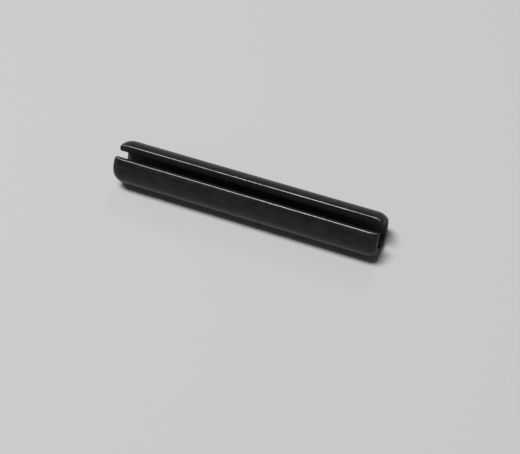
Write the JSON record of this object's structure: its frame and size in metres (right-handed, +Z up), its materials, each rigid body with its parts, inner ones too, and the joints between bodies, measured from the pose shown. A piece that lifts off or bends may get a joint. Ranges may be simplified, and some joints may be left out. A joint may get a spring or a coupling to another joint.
{
  "type": "slotted spring pin",
  "caption": "Slotted spring tension pin: an open tube of blackened spring steel with a full-length slot and rounded ends.",
  "frame": {"origin": "the middle of the pin's axis, halfway between its two ends", "axes": "+X along the pin's axis, +Z up as the pin lies on a surface. The slot runs the whole length and looks up, turned 8.5 degrees from +Z towards -Y. The surface is at z = -2.5 mm"},
  "size_m": [0.0318, 0.005, 0.0049],
  "materials": {
    "black_spring_steel": "hardened spring steel, black oxide finish with a film of oil, satin, worn bright along the slot's corners"
  },
  "bodies": {
    "root": {"spring_pin": "black_spring_steel"}
  },
  "joints": []
}
